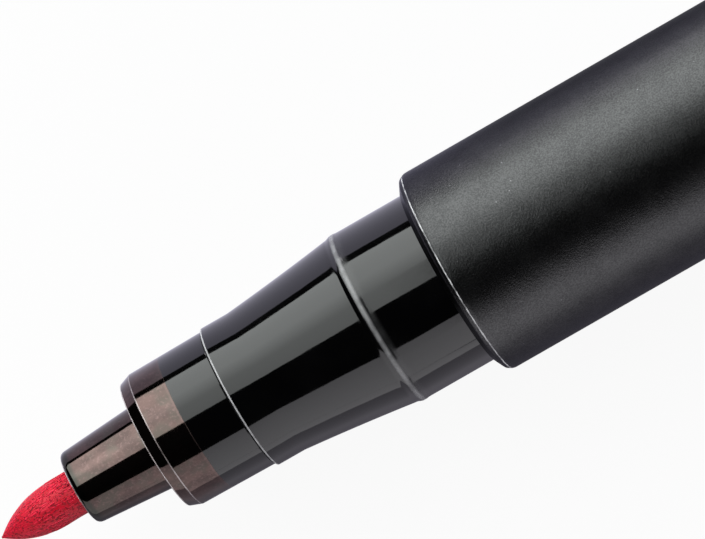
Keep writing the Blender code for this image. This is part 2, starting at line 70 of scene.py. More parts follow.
print("the construction model measures", [round(v / MM, 2) for v in cad_high - cad_low], "mm")

# %% [markdown]
# ## Where things are
#
# Each node's box in the frame gives its ends and its radius. Only small features that a box can't tell,
# such as a chamfer, are written down here, in millimetres.

# %% Read stations and radii from the frame


def ends(node):
    """The first and last station of a node along the marker's axis."""
    low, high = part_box(node)
    return low.x, high.x


def radius(node):
    """The largest radius of a turned node."""
    low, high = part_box(node)
    return (high.y - low.y) / 2


nib_tip, nib_end = ends("brush_nib")
cone_front, holder_end = ends("nib_holder")
section_front, section_end = ends("grip_section")
barrel_front, barrel_end = ends("barrel")
plug_front, spigot_end = ends("tail_plug")
cap_mouth, shell_end = ends("cap_shell")
crown_front, tail_face = ends("cap_crown")
nib_radius = radius("brush_nib")
collar_radius = radius("nib_holder")
bead_radius = radius("grip_section")
barrel_radius = radius("barrel")
cap_radius = radius("cap_shell")
floor_height = cad_low.z
print("from the nib's tip to the barrel:", round((barrel_front - nib_tip) / MM, 2), "mm")

# %% [markdown]
# ## Shader maths in plain Python
#
# A procedural finish is a small calculation at every point of the surface. Adding Math nodes by hand
# hides the formula, so a socket is wrapped in a class whose operators add those nodes. One method adds
# any other node.

# %% The finish builder


class Value:
    """A shader socket that works in Python expressions."""

    def __init__(self, finish, socket):
        self.finish = finish
        self.socket = socket

    def math(self, operation, first, second=0.0):
        return self.finish.node("ShaderNodeMath", {"operation": operation}, {0: first, 1: second})

    def __add__(self, other):
        return self.math("ADD", self, other)

    def __radd__(self, other):
        return self.math("ADD", other, self)

    def __sub__(self, other):
        return self.math("SUBTRACT", self, other)

    def __rsub__(self, other):
        return self.math("SUBTRACT", other, self)

    def __mul__(self, other):
        return self.math("MULTIPLY", self, other)

    def __rmul__(self, other):
        return self.math("MULTIPLY", other, self)

    def __truediv__(self, other):
        return self.math("DIVIDE", self, other)

    def __rtruediv__(self, other):
        return self.math("DIVIDE", other, self)

    def between(self, low, high):
        """0 below low, 1 above high, with a smooth step from one to the other."""
        settings = {"interpolation_type": "SMOOTHSTEP"}
        inputs = {"Value": self, "From Min": low, "From Max": high}
        return self.finish.node("ShaderNodeMapRange", settings, inputs)

    def line_at(self, place, half_width, fade):
        """1 within half_width of a place, 0 further off, with soft sides."""
        distance = self.math("ABSOLUTE", self - place)
        return 1.0 - distance.between(half_width, half_width + fade)


class Finish:
    """A material under construction."""

    def __init__(self, name):
        self.material = bpy.data.materials.new(name)
        self.material.use_nodes = True
        self.tree = self.material.node_tree
        self.shader = self.tree.nodes["Principled BSDF"]
        self.place = self.node("ShaderNodeTexCoord", output="Object")
        self.x = self.node("ShaderNodeSeparateXYZ", None, {0: self.place})
        outputs = self.x.socket.node.outputs
        self.y = Value(self, outputs["Y"])
        self.z = Value(self, outputs["Z"])

    def node(self, kind, settings=None, inputs=None, output=0):
        """Adds a node: its type, its settings, its sockets' values or links, and the output wanted."""
        made = self.tree.nodes.new(kind)
        for key, value in (settings or {}).items():
            setattr(made, key, value)
        for key, value in (inputs or {}).items():
            if isinstance(value, Value):
                self.tree.links.new(value.socket, made.inputs[key])
            else:
                made.inputs[key].default_value = value
        return Value(self, made.outputs[output])

    def stretched(self, along, across):
        """Object coordinates scaled for a pattern that differs along and across the marker."""
        inputs = {"Vector": self.place, "Scale": (along, across, across)}
        return self.node("ShaderNodeMapping", None, inputs)

    def noise(self, scale, detail=3.0, where=None, rough=0.5):
        inputs = {"Vector": where or self.place, "Scale": scale, "Detail": detail, "Roughness": rough}
        return self.node("ShaderNodeTexNoise", None, inputs)

    def specks(self, scale, size, share):
        """Small round dots, each 1 at its middle, in a random share of a Voronoi pattern's cells."""
        inputs = {"Vector": self.place, "Scale": scale, "Randomness": 1.0}
        cells = self.node("ShaderNodeTexVoronoi", None, inputs)
        outputs = cells.socket.node.outputs
        chance = self.node("ShaderNodeSeparateColor", None, {0: Value(self, outputs["Color"])})
        dot = 1.0 - cells.between(size * 0.5, size)
        return dot * (1.0 - chance.between(share, share + 0.01))

    def blend(self, factor, first, second):
        """A colour between two colours."""
        ends_in = {0: factor, 6: colour(first), 7: colour(second)}
        return self.node("ShaderNodeMix", {"data_type": "RGBA"}, ends_in, output=2)

    def bump(self, height, depth):
        return self.node("ShaderNodeBump", None, {"Height": height, "Distance": depth, "Strength": 1.0})

    def set(self, **sockets):
        """Sets or links sockets of the shader; a name's underscores stand for spaces."""
        for name, value in sockets.items():
            target = self.shader.inputs[name.replace("_", " ").title() if name != "ior" else "IOR"]
            if isinstance(value, Value):
                self.tree.links.new(value.socket, target)
            else:
                target.default_value = value
        return self.material


def colour(value):
    """A colour with its alpha, or a link as it is."""
    return value if isinstance(value, Value) else (*value, 1.0)


print("finish builder ready")

# %% [markdown]
# ## Turned pieces
#
# Nearly every piece of a marker comes out of a round mould, so an outline turned about the axis makes
# it. No moulded edge is perfectly sharp: each corner carries a small radius, which catches a thin line of
# light. A point close to each end of a rounding keeps the shading of the faces beside it flat.

# %% Outline and lathe helpers
TURN_STEPS = 160
CORNER_STEPS = 5
SMOOTH_BELOW = math.radians(40)
SUPPORT = 0.015 * MM
SAME_POINT = 1e-8
LONGEST_SHARE = 0.45


def softened(corners, closed=True, support=SUPPORT):
    """Outline points from corners (station, radius, rounding), each corner replaced by a short curve."""
    points = []
    count = len(corners)
    for i, (x, r, rounding) in enumerate(corners):
        inner = closed or 0 < i < count - 1
        if not rounding or not inner:
            points.append(Vector((x, r)))
            continue
        here = Vector((x, r))
        before = Vector(corners[i - 1][:2]) - here
        after = Vector(corners[(i + 1) % count][:2]) - here
        reach = min(rounding, before.length * LONGEST_SHARE, after.length * LONGEST_SHARE)
        start = here + before.normalized() * reach
        end = here + after.normalized() * reach
        if support and before.length > 2 * (reach + support):
            points.append(start + before.normalized() * support)
        for step in range(CORNER_STEPS + 1):
            t = step / CORNER_STEPS
            points.append(start * (1 - t) ** 2 + here * (2 * t * (1 - t)) + end * t**2)
        if support and after.length > 2 * (reach + support):
            points.append(end + after.normalized() * support)
    return points


def finished_mesh(name, builder, material):
    """A smooth-shaded object at the origin from a bmesh, its faces turned outwards."""
    bmesh.ops.remove_doubles(builder, verts=builder.verts, dist=SAME_POINT)
    bmesh.ops.recalc_face_normals(builder, faces=builder.faces)
    mesh = bpy.data.meshes.new(name)
    builder.to_mesh(mesh)
    builder.free()
    mesh.shade_smooth()
    mesh.set_sharp_from_angle(angle=SMOOTH_BELOW)
    mesh.materials.append(material)
    piece = bpy.data.objects.new(name, mesh)
    bpy.context.scene.collection.objects.link(piece)
    return piece


def turned(name, outline, material, closed=True):
    """A piece turned about the marker's axis; an open outline starts and ends on the axis."""
    builder = bmesh.new()
    rim = [builder.verts.new((p.x, 0.0, p.y)) for p in outline]
    pairs = list(zip(rim, rim[1:]))
    if closed:
        pairs.append((rim[-1], rim[0]))
    edges = [builder.edges.new(pair) for pair in pairs]
    bmesh.ops.spin(
        builder, geom=rim + edges, cent=(0, 0, 0), axis=(1, 0, 0),
        angle=2 * math.pi, steps=TURN_STEPS, use_merge=True,
    )
    return finished_mesh(name, builder, material)


def place_piece(piece, body, slot, *nodes):
    """Hands a piece to its body and hides the construction nodes it stands for."""
    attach(piece, body)
    if nodes:
        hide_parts(*nodes)
    print(piece.name, "has", len(piece.data.polygons), "faces and rides on", body)


print("a turned piece has", TURN_STEPS, "steps round the axis")

# %% [markdown]
# ## Ribs from Geometry Nodes
#
# Ribs and fins repeat evenly round the axis, so one node tree makes a ring of bars from a few named
# sizes. Its result is turned into a plain mesh, because an export keeps no instances.

# %% A tree that makes a ring of bars


def tree_with(name, inputs):
    """An empty Geometry Nodes tree with named number inputs, and functions that add its nodes."""
    tree = bpy.data.node_groups.new(name, "GeometryNodeTree")
    kinds = {float: "NodeSocketFloat", int: "NodeSocketInt"}
    ids = {}
    for label, value in inputs.items():
        socket = tree.interface.new_socket(label, in_out="INPUT", socket_type=kinds[type(value)])
        ids[label] = socket.identifier
    tree.interface.new_socket("Geometry", in_out="OUTPUT", socket_type="NodeSocketGeometry")
    group_in = tree.nodes.new("NodeGroupInput")

    def add(kind, settings=None, links=None, output=0):
        made = tree.nodes.new(kind)
        for key, value in (settings or {}).items():
            setattr(made, key, value)
        for key, value in (links or {}).items():
            if isinstance(value, bpy.types.NodeSocket):
                tree.links.new(value, made.inputs[key])
            else:
                made.inputs[key].default_value = value
        return made.outputs[output]

    def work(operation, a, b=0.0):
        return add("ShaderNodeMath", {"operation": operation}, {0: a, 1: b})

    return tree, ids, group_in.outputs, add, work


def end_tree(tree, add, geometry, material):
    """Closes a tree with Realize Instances and Set Material."""
    real = add("GeometryNodeRealizeInstances", None, {0: geometry})
    painted = add("GeometryNodeSetMaterial", None, {"Geometry": real, "Material": material})
    out = tree.nodes.new("NodeGroupOutput")
    tree.links.new(painted, out.inputs[0])


def grown(name, tree, ids, inputs):
    """The plain mesh object that a tree makes from its inputs."""
    holder = bpy.data.objects.new(name, bpy.data.meshes.new(name))
    bpy.context.scene.collection.objects.link(holder)
    modifier = holder.modifiers.new("tree", "NODES")
    modifier.node_group = tree
    for label, value in inputs.items():
        modifier[ids[label]] = value
    graph = bpy.context.evaluated_depsgraph_get()
    mesh = bpy.data.meshes.new_from_object(holder.evaluated_get(graph))
    holder.modifiers.remove(modifier)
    holder.data = mesh
    mesh.name = name
    return holder


def rib_ring(name, count, x_from, x_to, r_from, r_to, width, material):
    """Bars along the axis, evenly spaced round it."""
    inputs = {
        "Count": count, "Start": x_from, "End": x_to, "Inner": r_from, "Outer": r_to, "Width": width
    }
    tree, ids, given, add, work = tree_with(name, inputs)
    length = work("SUBTRACT", given["End"], given["Start"])
    height = work("SUBTRACT", given["Outer"], given["Inner"])
    size = add("ShaderNodeCombineXYZ", None, {0: length, 1: given["Width"], 2: height})
    bar = add("GeometryNodeMeshCube", None, {"Size": size})
    middle_x = work("MULTIPLY", work("ADD", given["End"], given["Start"]), 0.5)
    middle_r = work("MULTIPLY", work("ADD", given["Outer"], given["Inner"]), 0.5)
    middle = add("ShaderNodeCombineXYZ", None, {0: middle_x, 2: middle_r})
    set_off = add("GeometryNodeTransform", None, {"Geometry": bar, "Translation": middle})
    points = add("GeometryNodeMeshLine", None, {"Count": given["Count"], "Offset": (0.0, 0.0, 0.0)})
    share = work("DIVIDE", add("GeometryNodeInputIndex"), given["Count"])
    turn = add("ShaderNodeCombineXYZ", None, {0: work("MULTIPLY", share, 2 * math.pi)})
    links = {"Points": points, "Instance": set_off, "Rotation": turn}
    ring = add("GeometryNodeInstanceOnPoints", None, links)
    end_tree(tree, add, ring, material)
    return grown(name, tree, ids, inputs)


print("rib tree ready")

# %% [markdown]
# ## Finishes
#
# The grip is polished black plastic: almost no colour of its own, so it shows only what it reflects.
# Fine rubbing marks and a little haze keep it from looking like glass. Along the grip's front edge and on
# the bead, pale paint stands in for their highlights: painted highlights. Where the cap's snap rubs, the
# gloss round the bead is scuffed.

# %% Glossy black plastic
BLACK = (0.0004, 0.0004, 0.0005)
HAZED_BLACK = (0.0012, 0.0012, 0.0013)
RING_HIGHLIGHT_PALE = (0.42, 0.42, 0.43)
POLISH_IOR = 1.6
POLISH_ROUGH = 0.05
POLISH_BUMP = 0.0000012
HAZE_SCALE = 420.0
SCRATCH_SCALE = 2600.0
WEAR_SCALE = 1500.0


def gloss_black(name, highlight_and_scuff_rings=()):
    """Polished black; the rings list (station, half width, fade, paleness, scuff): paleness is a painted
    highlight, scuff added roughness.
    """
    finish = Finish(name)
    haze = finish.noise(HAZE_SCALE, 4.0)
    fine = finish.noise(SCRATCH_SCALE, 2.0, finish.stretched(0.35, 1.0))
    base = finish.blend(haze.between(0.35, 0.75), BLACK, HAZED_BLACK)
    rough = POLISH_ROUGH + haze.between(0.4, 0.8) * 0.025 + fine.between(0.55, 0.8) * 0.015
    for station, half_width, fade, paleness, scuff in highlight_and_scuff_rings:
        breaks = 0.7 + 0.3 * finish.noise(WEAR_SCALE, 2.0).between(0.35, 0.55)
        ring = finish.x.line_at(station, half_width, fade) * breaks
        # The paleness paints a highlight along the ring; the scuff only roughens the gloss.
        base = finish.blend(ring * paleness, base, RING_HIGHLIGHT_PALE)
        rough = rough + ring * scuff
    surface = finish.bump(fine, POLISH_BUMP)
    return finish.set(base_color=base, roughness=rough, ior=POLISH_IOR, normal=surface)


print("glossy black: roughness from", POLISH_ROUGH, "and an IOR of", POLISH_IOR)

# %% [markdown]
# ## Dried ink on the holder
#
# Ink creeps out round the nib and dries as a thin film on the cone and on the front of the collar, up to
# where the inner cap seals. The film shows only where something bright is reflected in it: it tints the
# reflection a brownish pink. A metallic value with a dark coloured base does that, and it stays black
# elsewhere. The film's reflection is also scaled by side round the axis, raised just above the middle and
# lowered on the lower side: painted light. Pale lines on the front edges are painted highlights.

# %% Ink-filmed black plastic
FILM_FROM_COLLAR_FRONT = 2.32 * MM
COLLAR_FROM_CONE_FRONT = 4.42 * MM
COLLAR_LEAD_LENGTH = 0.62 * MM
FILM_BROWN = (0.078, 0.056, 0.052)
FILM_PINK = (0.112, 0.076, 0.069)
FILM_GREEN = (0.082, 0.072, 0.062)
FILM_PALE = (0.160, 0.108, 0.102)
FILM_RING = (0.044, 0.050, 0.044)
FILM_EDGE_HIGHLIGHT = (0.64, 0.58, 0.58)
FILM_UPPER_PAINTED_LIGHT = 0.55
FILM_LOWER_PAINTED_SHADE = 0.08
FILM_ROUGH = 0.055
FILM_WANDER = 0.08 * MM
FILM_FADE = 0.03 * MM
RING_WANDER = 0.10 * MM
RING_FROM = 0.32 * MM
RING_TO = 0.62 * MM
collar_front = cone_front + COLLAR_FROM_CONE_FRONT
film_edge = collar_front + FILM_FROM_COLLAR_FRONT


def ink_filmed_black(name, cone_edge, collar_edge):
    """Filmed black; the two radii say where the pale lines painted as highlights on the front rims of the
    cone and the collar begin.
    """
    finish = Finish(name)
    wander = finish.noise(900.0, 3.0) - 0.5
    film_end = finish.x + wander * FILM_WANDER
    covered = 1.0 - film_end.between(film_edge - FILM_FADE, film_edge + FILM_FADE)
    mottle = finish.noise(1100.0, 4.0, finish.stretched(0.6, 1.0), rough=0.6)
    fine = finish.noise(7000.0, 2.0)
    drift = finish.noise(650.0, 2.0)
    film = finish.blend(mottle.between(0.36, 0.64), FILM_BROWN, FILM_PINK)
    film = finish.blend(drift.between(0.46, 0.62) * 0.75, film, FILM_GREEN)
    film = finish.blend(fine.between(0.50, 0.72) * 0.45, film, FILM_PALE)
    ring_end = finish.x + wander * RING_WANDER
    ring = 1.0 - ring_end.between(cone_front + RING_FROM, cone_front + RING_TO)
    film = finish.blend(ring * 0.75, film, FILM_RING)
    rim = finish.x.line_at(film_edge - 0.05 * MM, 0.02 * MM, 0.08 * MM)
    film = finish.blend(rim * 0.25, film, FILM_PALE)
    # The film's reflection is scaled by side round the axis: raised just above the middle, lowered on the
    # lower side. This is painted light.
    spread = finish.y * finish.y + finish.z * finish.z
    away = spread.math("SQRT", spread)
    side = finish.y / away
    painted_side_light = 1.0 + FILM_UPPER_PAINTED_LIGHT * (1.0 - side.between(0.30, 0.50))
    painted_side_light = painted_side_light - (FILM_UPPER_PAINTED_LIGHT + FILM_LOWER_PAINTED_SHADE) * (1.0 - side.between(-0.30, 0.0))
    film = finish.node("ShaderNodeVectorMath", {"operation": "SCALE"}, {0: film, "Scale": painted_side_light})
    base = finish.blend(covered, BLACK, film)
    # Pale lines along the lead, the collar's front and the cone's front rim are painted highlights; there
    # the film's metal gives way to them.
    breaks = 0.6 + 0.4 * finish.noise(1700.0, 2.0).between(0.35, 0.55)
    lead_line = finish.x.line_at(collar_front + COLLAR_LEAD_LENGTH, 0.018 * MM, 0.022 * MM)
    edge_highlight = lead_line * breaks * 0.50
    collar_rim = away.between(collar_edge, collar_edge + 0.03 * MM)
    collar_line = finish.x.line_at(collar_front, 0.045 * MM, 0.020 * MM)
    edge_highlight = edge_highlight + collar_line * breaks * collar_rim * 0.80
    cone_rim = away.between(cone_edge, cone_edge + 0.05 * MM)
    cone_line = finish.x.line_at(cone_front, 0.055 * MM, 0.035 * MM)
    edge_highlight = edge_highlight + cone_line * breaks * cone_rim * 0.95
    base = finish.blend(edge_highlight, base, FILM_EDGE_HIGHLIGHT)
    rough = FILM_ROUGH + covered * fine.between(0.4, 0.8) * 0.03 + edge_highlight * 0.3
    surface = finish.bump(fine * 0.3 + mottle, POLISH_BUMP)
    return finish.set(
        base_color=base, metallic=covered * (1.0 - edge_highlight), roughness=rough, ior=POLISH_IOR, normal=surface
    )


print("the film ends", round((film_edge - cone_front) / MM, 2), "mm behind the cone's front")

# %% [markdown]
# ## Spark-eroded matte black
#
# The barrel's mould was textured by spark erosion, which leaves a fine even grain. It scatters the light
# into soft bands. The tiny bright specks where a few grains catch it are painted in as pale dots: painted
# glints. At a grazing angle the grains hide one another, so the sides stay dark where polished plastic
# would mirror the table. The shader's metallic branch has a tint for that: a base as dark as plastic's
# own reflection, and half the usual gain there.

# %% Matte black plastic
GRAIN_DARK = (0.050, 0.050, 0.051)
GRAIN_LIGHT = (0.084, 0.084, 0.085)
GLINT_PALE = (0.30, 0.30, 0.31)
RIM_HIGHLIGHT_PALE = (0.62, 0.62, 0.63)
SIDE_TINT = (0.5, 0.5, 0.53, 1.0)
GRAIN_SCALE = 12500.0
CLOUD_SCALE = 900.0
SPECK_SCALE = 3600.0
MATTE_ROUGH = 0.28
GRAIN_BUMP = 0.000012
RIM_WANDER_SCALE = 4200.0
RIM_WANDER = 0.05 * MM
RIM_HIGHLIGHT_HALF_WIDTH = 0.020 * MM
RIM_HIGHLIGHT_FADE = 0.022 * MM


def matte_black(name, rim=None):
    """Fine-grained black; rim is a station round which a thin pale line is painted as a highlight."""
    finish = Finish(name)
    grain = finish.noise(GRAIN_SCALE, 2.0, rough=0.6)
    cloud = finish.noise(CLOUD_SCALE, 3.0)
    dots = finish.specks(SPECK_SCALE, 0.16, 0.04)
    tone = (grain * 0.8 + cloud * 0.2).between(0.35, 0.65)
    base = finish.blend(tone, GRAIN_DARK, GRAIN_LIGHT)
    # Pale dots are painted glints, where a few grains would catch the light.
    base = finish.blend(dots * 0.5, base, GLINT_PALE)
    rough = MATTE_ROUGH + cloud.between(0.3, 0.7) * 0.02
    metal = 1.0
    if rim is not None:
        # A thin pale line round the rim, broken by noise and wandering a little: a painted highlight.
        breaks = finish.noise(2000.0, 3.0).between(0.40, 0.58)
        rim_wander = (finish.noise(RIM_WANDER_SCALE, 2.0) - 0.5) * RIM_WANDER
        rim_highlight = (finish.x + rim_wander).line_at(rim, RIM_HIGHLIGHT_HALF_WIDTH, RIM_HIGHLIGHT_FADE) * (0.45 + 0.55 * breaks)
        base = finish.blend(rim_highlight, base, RIM_HIGHLIGHT_PALE)
        metal = 1.0 - rim_highlight
    surface = finish.bump(grain, GRAIN_BUMP)
    return finish.set(
        base_color=base, metallic=metal, roughness=rough, specular_tint=SIDE_TINT, normal=surface
    )


print("matte black: roughness from", MATTE_ROUGH, "and a bump of", round(GRAIN_BUMP / MM, 3), "mm")

# %% [markdown]
# ## Red fibre, red plastic and the pale inner pieces
#
# The nib is a bundle of bonded fibres soaked in ink. Each fibre carries its own shade, stored on the
# mesh when it is made. The tail and the crown are moulded in the ink's colour; the inner cap is natural.

# %% The other finishes
INK_DEEP = (0.54, 0.005, 0.018)
INK_BRIGHT = (0.97, 0.026, 0.078)
PIT_PAINTED_SHADE = (0.13, 0.001, 0.006)
FIBRE_IOR = 1.34
FIBRE_ROUGH = 0.26
FIBRE_BUMP = 0.00003
STREAK_SCALE = 5200.0
PIT_SCALE = 11000.0
FLOW_SCALE = 300.0
MOULD_BUMP = 0.000004


def soaked_fibre(name):
    """Fibre with a tone of its own, streaks along it, and pits between that are dented and darkened as
    painted shade.
    """
    finish = Finish(name)
    shade = finish.node("ShaderNodeAttribute", {"attribute_name": "shade"}, output="Fac")
    streak = finish.noise(STREAK_SCALE, 4.0, finish.stretched(0.30, 1.0), rough=0.6)
    pits = finish.noise(PIT_SCALE, 2.0, finish.stretched(0.7, 1.0)).between(0.52, 0.66)
    tone = (shade * 0.5 + streak * 0.7).between(0.20, 0.90)
    base = finish.blend(tone, INK_DEEP, INK_BRIGHT)
    # The pits are darkened in colour as well as dented: painted shade in the recesses.
    base = finish.blend(pits * 0.75, base, PIT_PAINTED_SHADE)
    rough = FIBRE_ROUGH + streak * 0.20
    surface = finish.bump(streak - pits * 0.7, FIBRE_BUMP)
    return finish.set(base_color=base, roughness=rough, ior=FIBRE_IOR, normal=surface)


def moulded(name, dark, light, gloss, grain_scale=1400.0):
    """Moulded plastic with faint flow marks."""
    finish = Finish(name)
    flow = finish.noise(FLOW_SCALE, 4.0, finish.stretched(0.3, 1.0))
    grain = finish.noise(grain_scale, 3.0)
    base = finish.blend(flow.between(0.3, 0.7), dark, light)
    rough = gloss + grain.between(0.3, 0.8) * 0.10
    surface = finish.bump(grain, MOULD_BUMP)
    return finish.set(base_color=base, roughness=rough, normal=surface)


ink_red = moulded("moulded_ink_red", (0.40, 0.008, 0.020), (0.50, 0.012, 0.028), 0.20)
natural_white = moulded("natural_white", (0.68, 0.68, 0.66), (0.78, 0.78, 0.76), 0.35)
clear_film = moulded("wrap_film", (0.72, 0.72, 0.74), (0.84, 0.84, 0.86), 0.25)
soaked_core = moulded("soaked_core", (0.42, 0.03, 0.05), (0.62, 0.09, 0.11), 0.75, 3000.0)
satin_black = moulded("satin_black", (0.0080, 0.0080, 0.0085), (0.0120, 0.0120, 0.0125), 0.26, 5000.0)
cap_black = matte_black("matte_black_cap")
print(len(bpy.data.materials), "materials so far")

# %% [markdown]
# ## The nib
#
# The nib is a round pointed rod: its point is an ogive, an arc tangent to the rod. A smooth core, turned
# like the other pieces, gives the shape. Like a used nib, it is a little blunt and leans to one side.

# %% Nib core
NIB_POINT_LENGTH = 3.10 * MM
FIBRE_RADIUS = 0.028 * MM
NIB_TAIL_CHAMFER = 0.6 * MM
NIB_LEAN = 0.20 * MM
NIB_LEAN_ROOT = 1.5 * MM
NIB_REACH = 0.12 * MM
NIB_BLUNT = 0.07 * MM
CORE_STEPS = 24


def ogive(along, point_length, full_radius):
    """Radius of the point at a distance from its tip."""
    sweep = (full_radius**2 + point_length**2) / (2 * full_radius)
    return math.sqrt(sweep**2 - max(0.0, point_length - along) ** 2) + full_radius - sweep


fibre_red = soaked_fibre("soaked_red_fibre")
core_radius = nib_radius - FIBRE_RADIUS
point_length = NIB_POINT_LENGTH + NIB_REACH
soft_tip = nib_tip - NIB_REACH
core_outline = []
for i in range(CORE_STEPS + 1):
    along = point_length * (i / CORE_STEPS) ** 2
    ball = math.sqrt(NIB_BLUNT**2 - (NIB_BLUNT - min(along, NIB_BLUNT)) ** 2)
    core_outline.append(Vector((soft_tip + along, max(ball, ogive(along, point_length, core_radius)))))
core_outline += [
    Vector((nib_end - NIB_TAIL_CHAMFER, core_radius)),
    Vector((nib_end, core_radius - NIB_TAIL_CHAMFER)),
    Vector((nib_end, 0.0)),
]
nib_core = turned("nib_core", core_outline, fibre_red, closed=False)
lean_length = cone_front + NIB_LEAN_ROOT - soft_tip
for vertex in nib_core.data.vertices:
    vertex.co.y -= NIB_LEAN * max(0.0, 1.0 - (vertex.co.x - soft_tip) / lean_length)
place_piece(nib_core, "pen", "nib_fibre", "brush_nib")

# %% [markdown]
# ## The nib's fibres
#
# A smooth rod would look like plastic. A node tree lays short fibres over the core: each is a straight
# template that is bent along the ogive at its own angle, swaying a little, and then given a thickness.
# Every chance comes from one seed, so each run lays them alike.

# %% Nib fibres
FIBRE_COUNT = 1100
FIBRE_POINTS = 6
FIBRE_SIDES = 4
FIBRE_SINK = 0.05 * MM
FIBRE_SHORTEST = 0.35 * MM
FIBRE_LONGEST = 1.1 * MM
FIBRE_SEED = 7
SWAY_SCALE = 900.0
SWAY_APART = 3.7
SWAY_ANGLE = 0.16
fibre_inputs = {
    "Fibres": FIBRE_COUNT, "Tip": soft_tip + FIBRE_RADIUS, "Length": cone_front - soft_tip,
    "Lean": NIB_LEAN, "Lean length": lean_length, "Sink": FIBRE_SINK,
    "Shortest": FIBRE_SHORTEST, "Longest": FIBRE_LONGEST,
    "Point length": point_length, "Radius": core_radius, "Thickness": FIBRE_RADIUS, "Seed": FIBRE_SEED,
}
tree, ids, given, add, work = tree_with("nib_fibres", fibre_inputs)
template = add("GeometryNodeCurvePrimitiveLine", None, {"End": (1.0, 0.0, 0.0)})
template = add("GeometryNodeResampleCurve", None, {"Curve": template, "Count": FIBRE_POINTS})
seats = add("GeometryNodeMeshLine", None, {"Count": given["Fibres"], "Offset": (0.0, 0.0, 0.0)})
bundle = add("GeometryNodeInstanceOnPoints", None, {"Points": seats, "Instance": template})
bundle = add("GeometryNodeRealizeInstances", None, {0: bundle})
fibre = add("GeometryNodeCurveOfPoint", None, None, "Curve Index")


def chance(low, high, shift):
    """A random number for each fibre, from the tree's seed."""
    links = {2: low, 3: high, "ID": fibre, "Seed": work("ADD", given["Seed"], shift)}
    return add("FunctionNodeRandomValue", {"data_type": "FLOAT"}, links, 1)


share_along = add("ShaderNodeSeparateXYZ", None, {0: add("GeometryNodeInputPosition")})
span = chance(given["Shortest"], given["Longest"], 4)
along = work("ADD", chance(0.0, given["Length"], 5), work("MULTIPLY", share_along, span))
remaining = work("MAXIMUM", work("SUBTRACT", given["Point length"], along), 0.0)
squares = work("ADD", work("POWER", given["Radius"], 2.0), work("POWER", given["Point length"], 2.0))
sweep = work("DIVIDE", squares, work("MULTIPLY", given["Radius"], 2.0))
rise = work("SQRT", work("SUBTRACT", work("POWER", sweep, 2.0), work("POWER", remaining, 2.0)))
out = work("SUBTRACT", work("ADD", rise, given["Radius"]), sweep)
depth = work("MULTIPLY", chance(0.0, given["Sink"], 1), work("DIVIDE", out, given["Radius"]))
out = work("SUBTRACT", out, depth)
sway_parts = {0: work("MULTIPLY", along, SWAY_SCALE), 1: work("MULTIPLY", fibre, SWAY_APART)}
sway_links = {"Vector": add("ShaderNodeCombineXYZ", None, sway_parts), "Scale": 1.0, "Detail": 1.0}
sway = add("ShaderNodeTexNoise", {"noise_dimensions": "2D"}, sway_links)
angle = work("ADD", chance(0.0, 2 * math.pi, 2), work("MULTIPLY", sway, SWAY_ANGLE))
still = work("MINIMUM", work("DIVIDE", along, given["Lean length"]), 1.0)
lean = work("MULTIPLY", given["Lean"], work("SUBTRACT", 1.0, still))
place_parts = {
    0: work("ADD", along, given["Tip"]),
    1: work("SUBTRACT", work("MULTIPLY", out, work("SINE", angle)), lean),
    2: work("MULTIPLY", out, work("COSINE", angle)),
}
place = add("ShaderNodeCombineXYZ", None, place_parts)
laid = add("GeometryNodeSetPosition", None, {"Geometry": bundle, "Position": place})
stored = {"Geometry": laid, "Name": "shade", "Value": chance(0.0, 1.0, 3)}
shaded = add("GeometryNodeStoreNamedAttribute", {"data_type": "FLOAT", "domain": "POINT"}, stored)
round_section = {"Resolution": FIBRE_SIDES, "Radius": given["Thickness"]}
section = add("GeometryNodeCurvePrimitiveCircle", None, round_section)
strand_links = {"Curve": shaded, "Profile Curve": section, "Fill Caps": True}
strands = add("GeometryNodeCurveToMesh", None, strand_links)
end_tree(tree, add, strands, fibre_red)
nib_fibres = grown("nib_fibres", tree, ids, fibre_inputs)
nib_fibres.data.shade_smooth()
place_piece(nib_fibres, "pen", "nib_fibre")

# %% [markdown]
# ## The holder
#
# A nose cone guides the nib, and a collar behind it takes the seal of the inner cap. A shallow chamfer on
# the collar leads the seal on. The stem behind is hidden in the grip.

# %% Holder
CONE_TIP_RADIUS = 1.96 * MM
CONE_ROOT_RADIUS = 2.285 * MM
CONE_ROUNDING = 0.34 * MM
COLLAR_LEAD_DEPTH = 0.23 * MM
COLLAR_FRONT_RADIUS = 3.67 * MM
STEM_RADIUS = 2.95 * MM
HOLDER_BORE = nib_radius + 0.05 * MM
FINE_EDGE = 0.03 * MM
collar_end = section_front - 0.05 * MM
holder_corners = [
    (cone_front, HOLDER_BORE, 0.06 * MM),
    (cone_front, CONE_TIP_RADIUS, CONE_ROUNDING),
    (collar_front, CONE_ROOT_RADIUS, 0.05 * MM),
    (collar_front, COLLAR_FRONT_RADIUS - COLLAR_LEAD_DEPTH, FINE_EDGE),
    (collar_front + COLLAR_LEAD_LENGTH, COLLAR_FRONT_RADIUS, FINE_EDGE),
    (collar_end, collar_radius, 2 * FINE_EDGE),
    (collar_end, STEM_RADIUS, 0.0),
    (holder_end, STEM_RADIUS, 0.1 * MM),
    (holder_end, HOLDER_BORE, 0.0),
]
cone_edge = CONE_TIP_RADIUS - CONE_ROUNDING
collar_edge = COLLAR_FRONT_RADIUS - COLLAR_LEAD_DEPTH - 2 * FINE_EDGE
filmed_black = ink_filmed_black("ink_filmed_black", cone_edge, collar_edge)
holder = turned("holder", softened(holder_corners), filmed_black)
place_piece(holder, "pen", "gloss_black", "nib_holder")

# %% [markdown]
# ## The grip
#
# A short band, a flare whose slope grows towards the barrel, a low bead that the cap snaps over, and the
# seat that the cap slides on. The tenon behind is hidden in the barrel. The flare and the bead are worked
# out point by point, because a polished surface shows every kink.

